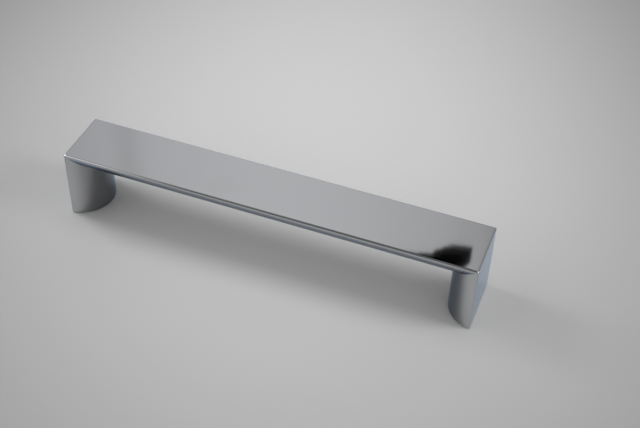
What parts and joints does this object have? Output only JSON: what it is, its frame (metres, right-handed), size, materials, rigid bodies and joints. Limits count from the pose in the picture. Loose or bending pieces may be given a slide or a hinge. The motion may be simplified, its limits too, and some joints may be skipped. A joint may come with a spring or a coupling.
{
  "type": "cabinet bar pull",
  "caption": "Straight cabinet pull cast in one piece: a flat-topped bar on two legs, rounded towards the finger gap, tapped from below for screws.",
  "frame": {"origin": "on the door's face, midway between the two screw holes, which is the bottom centre of the pull", "axes": "+X along the bar, +Y across its width, +Z away from the door, so the flat top faces +Z"},
  "size_m": [0.139, 0.021, 0.025],
  "materials": {
    "plating": "bright plated, mirror polish with faint streaks along the bar"
  },
  "bodies": {
    "root": {"pull": "plating"}
  },
  "joints": []
}
